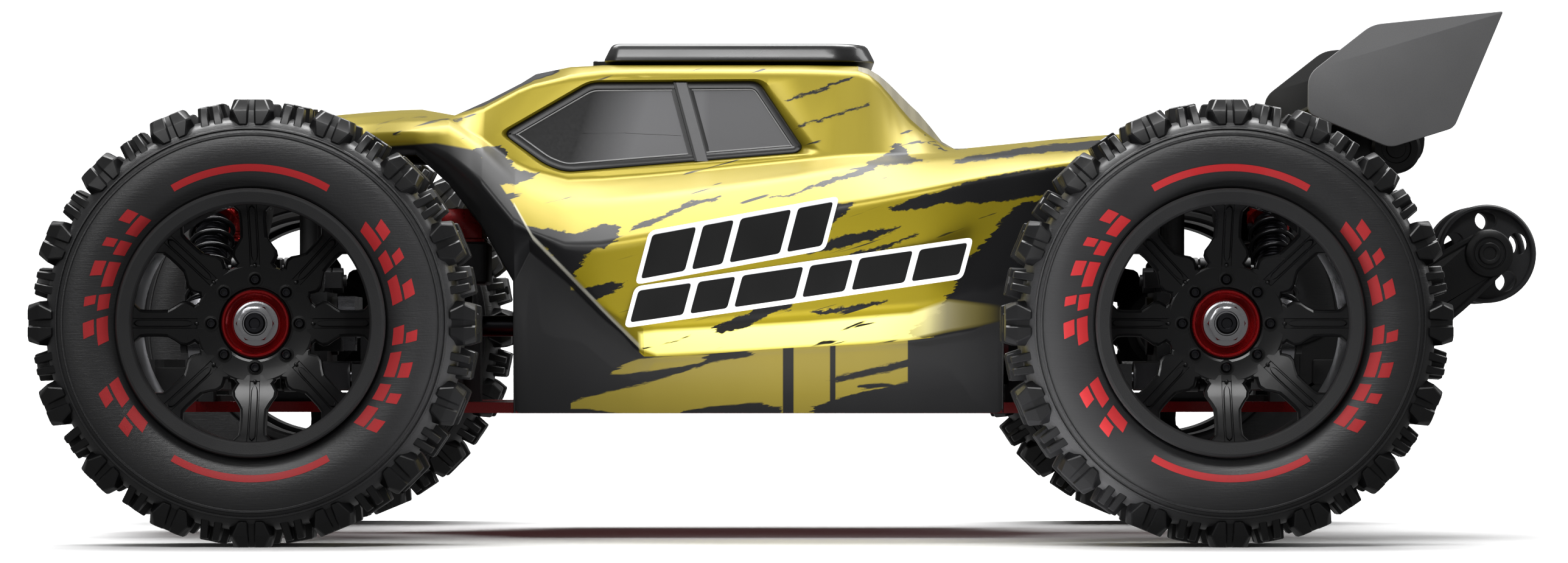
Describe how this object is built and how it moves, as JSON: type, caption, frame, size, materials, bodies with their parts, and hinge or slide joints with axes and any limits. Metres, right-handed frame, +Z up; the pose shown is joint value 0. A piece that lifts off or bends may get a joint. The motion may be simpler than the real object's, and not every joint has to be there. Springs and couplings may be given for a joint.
{
  "type": "rc buggy",
  "caption": "Radio-controlled off-road buggy with sprung double-wishbone suspension, steering, shaft drive, clip-on body shell, rear wing and wheelie bar.",
  "frame": {"origin": "on the ground, at the centre of the overall plan box", "axes": "+X forward, +Y to the left side, +Z up"},
  "size_m": [0.349, 0.25, 0.1225],
  "materials": {
    "tyre_rubber": "matte",
    "rim_black": "gloss",
    "arm_plastic": "satin",
    "shock_red": "anodised satin",
    "shock_steel": "polished",
    "spring_black": "satin",
    "shaft_steel": "brushed",
    "chassis_red": "anodised satin",
    "tower_black": "satin",
    "case_black": "matte",
    "motor_can": "satin",
    "brass_gear": "satin",
    "spur_nylon": "satin",
    "battery_wrap": "gloss",
    "esc_red": "anodised satin",
    "servo_black": "satin",
    "horn_white": "satin",
    "shell_gold": "semi-gloss",
    "roof_black": "satin",
    "wing_grey": "satin",
    "bar_black": "satin",
    "wheelie_grey": "satin"
  },
  "bodies": {
    "chassis": {"chassis_plate": "chassis_red", "front_bumper": "tower_black", "gearbox_housings": "case_black", "shock_towers": "tower_black", "hinge_pins": "shaft_steel", "motor": "motor_can", "battery": "battery_wrap", "esc": "esc_red", "servo": "servo_black", "body_posts": "case_black", "body_shell": "shell_gold", "roof_plate": "roof_black", "wing": "wing_grey", "wing_mount": "bar_black", "wheelie_bar": "bar_black"},
    "lower_arm_fl": {"lower_arm_fl": "arm_plastic"},
    "upper_arm_fl": {"upper_arm_fl": "arm_plastic"},
    "c_hub_fl": {"c_hub_fl": "arm_plastic"},
    "knuckle_fl": {"steering_knuckle_fl": "arm_plastic"},
    "wheel_fl": {"rim_fl": "rim_black", "tyre_fl": "tyre_rubber"},
    "shock_body_fl": {"shock_body_fl": "shock_red", "spring_fl": "spring_black"},
    "shock_rod_fl": {"shock_rod_fl": "shock_steel"},
    "halfshaft_fl": {"halfshaft_fl": "shaft_steel"},
    "tie_rod_fl": {"tie_rod_fl": "shaft_steel"},
    "lower_arm_fr": {"lower_arm_fr": "arm_plastic"},
    "upper_arm_fr": {"upper_arm_fr": "arm_plastic"},
    "c_hub_fr": {"c_hub_fr": "arm_plastic"},
    "knuckle_fr": {"steering_knuckle_fr": "arm_plastic"},
    "wheel_fr": {"rim_fr": "rim_black", "tyre_fr": "tyre_rubber"},
    "shock_body_fr": {"shock_body_fr": "shock_red", "spring_fr": "spring_black"},
    "shock_rod_fr": {"shock_rod_fr": "shock_steel"},
    "halfshaft_fr": {"halfshaft_fr": "shaft_steel"},
    "tie_rod_fr": {"tie_rod_fr": "shaft_steel"},
    "lower_arm_rl": {"lower_arm_rl": "arm_plastic"},
    "upper_arm_rl": {"upper_arm_rl": "arm_plastic"},
    "carrier_rl": {"rear_carrier_rl": "arm_plastic"},
    "wheel_rl": {"rim_rl": "rim_black", "tyre_rl": "tyre_rubber"},
    "shock_body_rl": {"shock_body_rl": "shock_red", "spring_rl": "spring_black"},
    "shock_rod_rl": {"shock_rod_rl": "shock_steel"},
    "halfshaft_rl": {"halfshaft_rl": "shaft_steel"},
    "lower_arm_rr": {"lower_arm_rr": "arm_plastic"},
    "upper_arm_rr": {"upper_arm_rr": "arm_plastic"},
    "carrier_rr": {"rear_carrier_rr": "arm_plastic"},
    "wheel_rr": {"rim_rr": "rim_black", "tyre_rr": "tyre_rubber"},
    "shock_body_rr": {"shock_body_rr": "shock_red", "spring_rr": "spring_black"},
    "shock_rod_rr": {"shock_rod_rr": "shock_steel"},
    "halfshaft_rr": {"halfshaft_rr": "shaft_steel"},
    "steering_rack": {"steering_rack": "case_black"},
    "servo_horn": {"servo_horn": "horn_white"},
    "centre_shaft": {"centre_shaft": "spur_nylon"},
    "motor_pinion": {"motor_pinion": "brass_gear"},
    "wheelie_wheels": {"wheelie_wheels": "wheelie_grey"}
  },
  "joints": [
    {"name": "suspension_fl", "type": "hinge", "parent": "chassis", "child": "lower_arm_fl", "pos_m": [0.1245, 0.024, 0.038], "axis": [1, 0, 0], "range_deg": [-8, 18], "stiffness_Nm_per_rad": 2.4, "springref_deg": -6.19},
    {"name": "upper_arm_pivot_fl", "type": "hinge", "parent": "chassis", "child": "upper_arm_fl", "pos_m": [0.1245, 0.024, 0.062], "axis": [1, 0, 0], "range_deg": [-8, 18]},
    {"name": "upright_pivot_fl", "type": "hinge", "parent": "lower_arm_fl", "child": "c_hub_fl", "pos_m": [0.1245, 0.084, 0.038], "axis": [1, 0, 0], "range_deg": [-18, 8]},
    {"name": "steer_fl", "type": "hinge", "parent": "c_hub_fl", "child": "knuckle_fl", "pos_m": [0.1245, 0.088, 0.05], "axis": [0, 0, 1], "range_deg": [-25, 25]},
    {"name": "wheel_spin_fl", "type": "hinge", "parent": "knuckle_fl", "child": "wheel_fl", "pos_m": [0.1245, 0.103, 0.05], "axis": [0, 1, 0], "continuous": true},
    {"name": "shock_swing_fl", "type": "hinge", "parent": "chassis", "child": "shock_body_fl", "pos_m": [0.14, 0.032, 0.083], "axis": [1, 0, 0], "range_deg": [-2.9, 6.5]},
    {"name": "shock_slide_fl", "type": "slide", "parent": "shock_body_fl", "child": "shock_rod_fl", "axis": [0, 0.6298, -0.7768], "range_m": [-0.0112, 0.005], "deforming": ["spring_fl"]},
    {"name": "halfshaft_swing_fl", "type": "hinge", "parent": "chassis", "child": "halfshaft_fl", "pos_m": [0.1245, 0.028, 0.05], "axis": [1, 0, 0], "range_deg": [-8, 18]},
    {"name": "tie_rod_swing_fl", "type": "hinge", "parent": "steering_rack", "child": "tie_rod_fl", "pos_m": [0.10994, 0.028, 0.05], "axis": [1, 0, 0], "range_deg": [-8, 18]},
    {"name": "suspension_fr", "type": "hinge", "parent": "chassis", "child": "lower_arm_fr", "pos_m": [0.1245, -0.024, 0.038], "axis": [-1, 0, 0], "range_deg": [-8, 18], "stiffness_Nm_per_rad": 2.4, "springref_deg": -6.19},
    {"name": "upper_arm_pivot_fr", "type": "hinge", "parent": "chassis", "child": "upper_arm_fr", "pos_m": [0.1245, -0.024, 0.062], "axis": [-1, 0, 0], "range_deg": [-8, 18]},
    {"name": "upright_pivot_fr", "type": "hinge", "parent": "lower_arm_fr", "child": "c_hub_fr", "pos_m": [0.1245, -0.084, 0.038], "axis": [-1, 0, 0], "range_deg": [-18, 8]},
    {"name": "steer_fr", "type": "hinge", "parent": "c_hub_fr", "child": "knuckle_fr", "pos_m": [0.1245, -0.088, 0.05], "axis": [0, 0, 1], "range_deg": [-25, 25]},
    {"name": "wheel_spin_fr", "type": "hinge", "parent": "knuckle_fr", "child": "wheel_fr", "pos_m": [0.1245, -0.103, 0.05], "axis": [0, 1, 0], "continuous": true},
    {"name": "shock_swing_fr", "type": "hinge", "parent": "chassis", "child": "shock_body_fr", "pos_m": [0.14, -0.032, 0.083], "axis": [-1, 0, 0], "range_deg": [-2.9, 6.5]},
    {"name": "shock_slide_fr", "type": "slide", "parent": "shock_body_fr", "child": "shock_rod_fr", "axis": [0, -0.6298, -0.7768], "range_m": [-0.0112, 0.005], "deforming": ["spring_fr"]},
    {"name": "halfshaft_swing_fr", "type": "hinge", "parent": "chassis", "child": "halfshaft_fr", "pos_m": [0.1245, -0.028, 0.05], "axis": [-1, 0, 0], "range_deg": [-8, 18]},
    {"name": "tie_rod_swing_fr", "type": "hinge", "parent": "steering_rack", "child": "tie_rod_fr", "pos_m": [0.10994, -0.028, 0.05], "axis": [-1, 0, 0], "range_deg": [-8, 18]},
    {"name": "suspension_rl", "type": "hinge", "parent": "chassis", "child": "lower_arm_rl", "pos_m": [-0.0935, 0.024, 0.038], "axis": [1, 0, 0], "range_deg": [-8, 18], "stiffness_Nm_per_rad": 2.4, "springref_deg": -6.19},
    {"name": "upper_arm_pivot_rl", "type": "hinge", "parent": "chassis", "child": "upper_arm_rl", "pos_m": [-0.0935, 0.024, 0.062], "axis": [1, 0, 0], "range_deg": [-8, 18]},
    {"name": "upright_pivot_rl", "type": "hinge", "parent": "lower_arm_rl", "child": "carrier_rl", "pos_m": [-0.0935, 0.084, 0.038], "axis": [1, 0, 0], "range_deg": [-18, 8]},
    {"name": "wheel_spin_rl", "type": "hinge", "parent": "carrier_rl", "child": "wheel_rl", "pos_m": [-0.0935, 0.103, 0.05], "axis": [0, 1, 0], "continuous": true},
    {"name": "shock_swing_rl", "type": "hinge", "parent": "chassis", "child": "shock_body_rl", "pos_m": [-0.109, 0.032, 0.083], "axis": [1, 0, 0], "range_deg": [-2.9, 6.5]},
    {"name": "shock_slide_rl", "type": "slide", "parent": "shock_body_rl", "child": "shock_rod_rl", "axis": [0, 0.6298, -0.7768], "range_m": [-0.0112, 0.005], "deforming": ["spring_rl"]},
    {"name": "halfshaft_swing_rl", "type": "hinge", "parent": "chassis", "child": "halfshaft_rl", "pos_m": [-0.0935, 0.028, 0.05], "axis": [1, 0, 0], "range_deg": [-8, 18]},
    {"name": "suspension_rr", "type": "hinge", "parent": "chassis", "child": "lower_arm_rr", "pos_m": [-0.0935, -0.024, 0.038], "axis": [-1, 0, 0], "range_deg": [-8, 18], "stiffness_Nm_per_rad": 2.4, "springref_deg": -6.19},
    {"name": "upper_arm_pivot_rr", "type": "hinge", "parent": "chassis", "child": "upper_arm_rr", "pos_m": [-0.0935, -0.024, 0.062], "axis": [-1, 0, 0], "range_deg": [-8, 18]},
    {"name": "upright_pivot_rr", "type": "hinge", "parent": "lower_arm_rr", "child": "carrier_rr", "pos_m": [-0.0935, -0.084, 0.038], "axis": [-1, 0, 0], "range_deg": [-18, 8]},
    {"name": "wheel_spin_rr", "type": "hinge", "parent": "carrier_rr", "child": "wheel_rr", "pos_m": [-0.0935, -0.103, 0.05], "axis": [0, 1, 0], "continuous": true},
    {"name": "shock_swing_rr", "type": "hinge", "parent": "chassis", "child": "shock_body_rr", "pos_m": [-0.109, -0.032, 0.083], "axis": [-1, 0, 0], "range_deg": [-2.9, 6.5]},
    {"name": "shock_slide_rr", "type": "slide", "parent": "shock_body_rr", "child": "shock_rod_rr", "axis": [0, -0.6298, -0.7768], "range_m": [-0.0112, 0.005], "deforming": ["spring_rr"]},
    {"name": "halfshaft_swing_rr", "type": "hinge", "parent": "chassis", "child": "halfshaft_rr", "pos_m": [-0.0935, -0.028, 0.05], "axis": [-1, 0, 0], "range_deg": [-8, 18]},
    {"name": "rack_slide", "type": "slide", "parent": "chassis", "child": "steering_rack", "axis": [0, 1, 0], "range_m": [-0.0066, 0.0066]},
    {"name": "servo_horn_turn", "type": "hinge", "parent": "chassis", "child": "servo_horn", "pos_m": [0.10994, 0.013, 0.038], "axis": [1, 0, 0], "range_deg": [-33, 33]},
    {"name": "centre_shaft_spin", "type": "hinge", "parent": "chassis", "child": "centre_shaft", "pos_m": [0, 0, 0.05], "axis": [1, 0, 0], "continuous": true},
    {"name": "pinion_spin", "type": "hinge", "parent": "chassis", "child": "motor_pinion", "pos_m": [-0.05, 0.022, 0.05], "axis": [1, 0, 0], "continuous": true},
    {"name": "wheelie_spin", "type": "hinge", "parent": "chassis", "child": "wheelie_wheels", "pos_m": [-0.1627, 0, 0.0672], "axis": [0, 1, 0], "continuous": true}
  ],
  "couplings": [
    {"joint": "upper_arm_pivot_fl", "follows": "suspension_fl", "ratio": 1},
    {"joint": "upright_pivot_fl", "follows": "suspension_fl", "ratio": -1},
    {"joint": "shock_swing_fl", "follows": "suspension_fl", "ratio": 0.355},
    {"joint": "shock_slide_fl", "follows": "suspension_fl", "m_per_rad": -0.0355},
    {"joint": "halfshaft_swing_fl", "follows": "suspension_fl", "ratio": 1},
    {"joint": "tie_rod_swing_fl", "follows": "suspension_fl", "ratio": 1},
    {"joint": "upper_arm_pivot_fr", "follows": "suspension_fr", "ratio": 1},
    {"joint": "upright_pivot_fr", "follows": "suspension_fr", "ratio": -1},
    {"joint": "shock_swing_fr", "follows": "suspension_fr", "ratio": 0.355},
    {"joint": "shock_slide_fr", "follows": "suspension_fr", "m_per_rad": -0.0355},
    {"joint": "halfshaft_swing_fr", "follows": "suspension_fr", "ratio": 1},
    {"joint": "tie_rod_swing_fr", "follows": "suspension_fr", "ratio": 1},
    {"joint": "upper_arm_pivot_rl", "follows": "suspension_rl", "ratio": 1},
    {"joint": "upright_pivot_rl", "follows": "suspension_rl", "ratio": -1},
    {"joint": "shock_swing_rl", "follows": "suspension_rl", "ratio": 0.355},
    {"joint": "shock_slide_rl", "follows": "suspension_rl", "m_per_rad": -0.0355},
    {"joint": "halfshaft_swing_rl", "follows": "suspension_rl", "ratio": 1},
    {"joint": "upper_arm_pivot_rr", "follows": "suspension_rr", "ratio": 1},
    {"joint": "upright_pivot_rr", "follows": "suspension_rr", "ratio": -1},
    {"joint": "shock_swing_rr", "follows": "suspension_rr", "ratio": 0.355},
    {"joint": "shock_slide_rr", "follows": "suspension_rr", "m_per_rad": -0.0355},
    {"joint": "halfshaft_swing_rr", "follows": "suspension_rr", "ratio": 1},
    {"joint": "steer_fr", "follows": "steer_fl", "ratio": 1},
    {"joint": "rack_slide", "follows": "steer_fl", "m_per_rad": -0.01485},
    {"joint": "servo_horn_turn", "follows": "steer_fl", "ratio": 1.3},
    {"joint": "pinion_spin", "follows": "centre_shaft_spin", "ratio": -2.6667}
  ]
}
